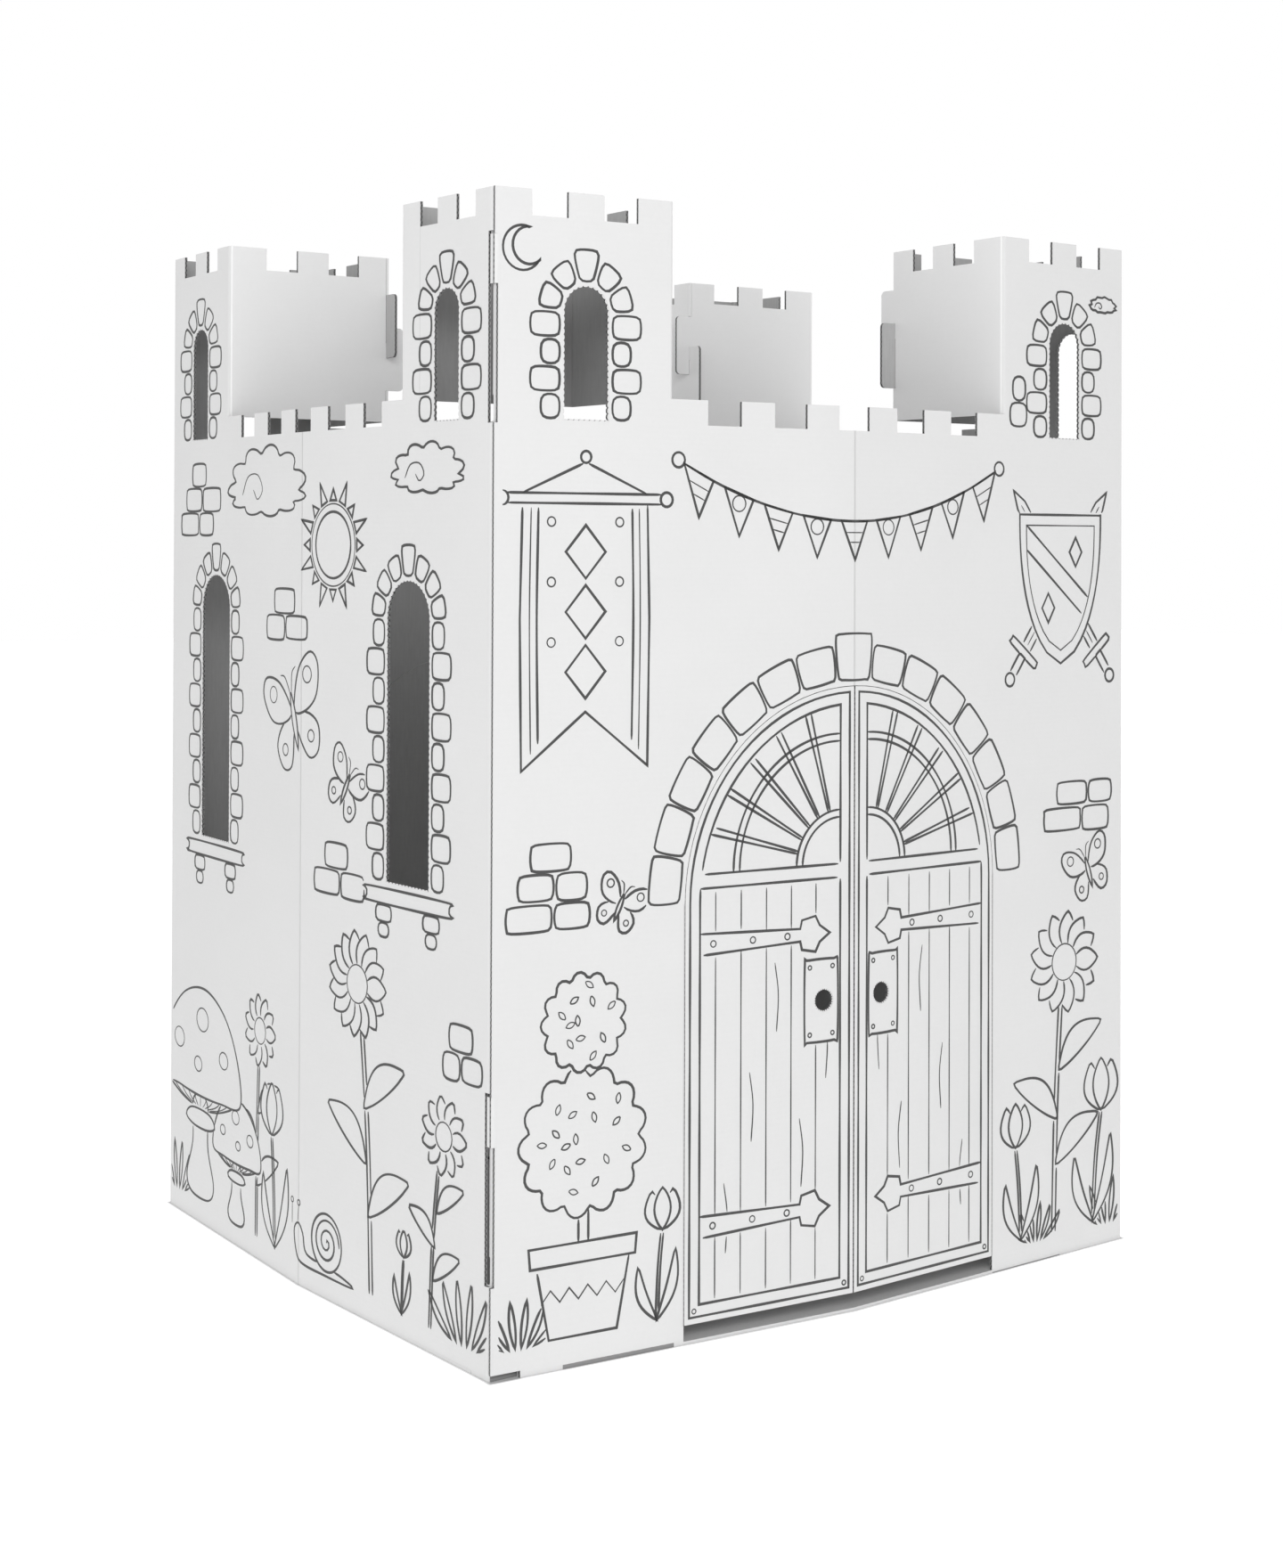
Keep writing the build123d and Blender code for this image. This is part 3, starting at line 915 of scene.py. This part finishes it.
side_print = Print(face_limit(half_depth), side_windows(window_clear))
for middle in tall_windows:
    window_stones(side_print, tall_width, tall_rise, middle, tall_sill, 7)
    window_ledge(side_print, tall_width, middle, tall_sill)
for side in (-1, 1):
    window_stones(side_print, window_side, window_rise, side * side_towers, window_sill, 5)
sun(side_print, (0.060, 0.735), 0.130)
cloud(side_print, (-0.085, 0.790), 0.170)
cloud(side_print, (0.225, 0.800), 0.110)
butterfly(side_print, (-0.015, 0.560), 0.120, 18)
butterfly(side_print, (0.085, 0.500), 0.070, -30)
stone_patch(side_print, (-0.305, 0.745),
            ((0, (0.05, 0.04)), (0.014, (0.045, 0.05)), (0.03, (0.04,))))
stone_patch(side_print, (0.028, 0.395), ((0, (0.05, 0.045)), (0.02, (0.045,))))
stone_patch(side_print, (-0.080, 0.640), ((0, (0.045, 0.05)), (0.018, (0.05,))))
stone_patch(side_print, (0.255, 0.255), ((0, (0.03, 0.035)), (0.01, (0.04,))))
toadstool(side_print, (-0.245, 0.028), 0.225)
toadstool(side_print, (-0.150, 0.022), 0.130, -1)
grass(side_print, (-0.305, 0.024), 0.055)
daisy(side_print, (0.135, 0.026), 0.340, -0.08, 15, 0.15)
daisy(side_print, (0.235, 0.022), 0.215, 0.10, 11, 0.17)
tulip(side_print, (0.188, 0.022), 0.078, 0.04)
grass(side_print, (0.290, 0.022), 0.060)
snail(side_print, (0.050, 0.022), 0.090, -1)
tulip(side_print, (-0.055, 0.022), 0.165, -0.05)
daisy(side_print, (-0.100, 0.022), 0.250, 0.03, 11, 0.15)
nicked_edges("left_perforations", side_windows(), nick_pitch, on_left, "walls")
nicked_edges("right_perforations", side_windows(), nick_pitch, half_turn(on_left), "walls")
ink_layer("left_print", side_print, on_left, "walls")
ink_layer("right_print", side_print, half_turn(on_left), "walls")

# Door leaves' print
# Each leaf is drawn as upright planks in a frame, with two strap hinges, a riveted plate
# round the finger hole and a fan of bars in its arched head.
finger_hole, finger_hole_inset, finger_hole_height = 0.0225, 0.0365, 0.302
frame_edge, frame_width, plank = 0.006, 0.011, 0.029
frame_inside, frame_middle = frame_edge + frame_width, frame_edge + frame_width / 2
rail_height, rail_width = 0.418, 0.013
plate_tall, plate_near, plate_far, rivet_inset = 0.078, -0.0165, 0.0225, 0.006
strap_heights, strap_rivets = (0.105, 0.366), (-0.015, -0.060, -0.100)
fan_arcs, fan_bar_half, fan_step = (0.045, 0.052, 0.118, 0.125), 1.3, 15
leaf_clear = 0.002


def leaf_outline(inset):
    """Half of the doorway's arch, moved inwards from the cut edges."""
    reach = half_door - inset
    turn = np.linspace(0, math.acos(inset / reach), 22)
    arc = np.c_[reach * np.cos(turn), door_spring_height + reach * np.sin(turn)]
    return np.vstack([[(inset, door_bottom + inset), (reach, door_bottom + inset)], arc])


def door_print():
    """The right leaf's drawing, with its hinges at the right."""
    panel = leaf_outline(frame_inside)
    hole_middle = (finger_hole_inset, finger_hole_height)
    pen = Print(leaf_outline(leaf_clear), [ring(hole_middle, finger_hole / 2 + leaf_clear)])
    pen.at(hole_middle)
    rivet_rise = plate_tall / 2 - 0.007
    for height in (-rivet_rise, rivet_rise):
        for place in (plate_near + rivet_inset, plate_far - rivet_inset):
            pen.draw(ring((place, height), 0.0020), ink_fine)
    pen.draw(block((plate_near, -plate_tall / 2), (plate_far, plate_tall / 2), 0.004))
    for height in strap_heights:
        pen.at((half_door - frame_inside, height))
        for place in strap_rivets:
            pen.draw(ring((place, 0), 0.0030), ink_fine)
        lower = [(0, -0.010), (-0.115, -0.006), (-0.117, -0.014), (-0.133, -0.017), (-0.138, -0.008)]
        upper = [(x, -y) for x, y in reversed(lower)]
        pen.draw([*lower, (-0.150, 0), *upper], curved=False, only=panel)
    hub = np.array((frame_inside, rail_height + rail_width))
    pen.at()
    pen.draw([(0, rail_height), (half_door, rail_height), (half_door, hub[1]), (0, hub[1])],
             curved=False, only=panel)
    quarter = np.radians(np.linspace(0, 90, 15))
    for reach in fan_arcs:
        arc = hub + reach * np.c_[np.cos(quarter), np.sin(quarter)]
        pen.draw(arc, closed=False, only=panel)
    for number in range(1, 6):
        for aside in (-fan_bar_half, fan_bar_half):
            turn = math.radians(fan_step * number + aside)
            bar = np.array((math.cos(turn), math.sin(turn)))
            pen.draw([hub + fan_arcs[1] * bar, hub + 0.2 * bar], closed=False, curved=False, only=panel)
    for number in range(1, 6):
        place = frame_inside + plank * number
        pen.draw([(place, door_bottom), (place, rail_height)], ink_fine, False, False, panel)
        grain = door_bottom + 0.06 + 0.05 * (number * 3 % 5)
        pen.draw([(place - 0.012, grain), (place - 0.014, grain + 0.035),
                  (place - 0.010, grain + 0.065)], ink_fine, False)
    pen.draw(panel, curved=False)
    for height in (door_bottom + frame_middle, rail_height + rail_width / 2):
        for place in (frame_middle, half_door - frame_middle):
            pen.draw(ring((place, height), 0.0022), ink_fine)
    pen.hidden.clear()
    pen.draw(leaf_outline(frame_edge), curved=False)
    return pen


right_leaf_print = door_print()
left_leaf_print = Print(leaf_outline(leaf_clear))
left_leaf_print.strokes = [(points[::-1] * (-1, 1), width, closed)
                           for points, width, closed in right_leaf_print.strokes]
faces = (("front", on_front), ("back", half_turn(on_front)))
for side, turn in (("left", -1), ("right", 1)):
    hole = ring((turn * finger_hole_inset, finger_hole_height), finger_hole / 2)
    for face, place in faces:
        nicked_edges(f"{face}_{side}_hole_perforations", [hole], nick_pitch / 2, place,
                     f"{face}_door_{side}")
for side, drawing in (("left", left_leaf_print), ("right", right_leaf_print)):
    for face, place in faces:
        ink_layer(f"{face}_door_{side}_print", drawing, place, f"{face}_door_{side}")
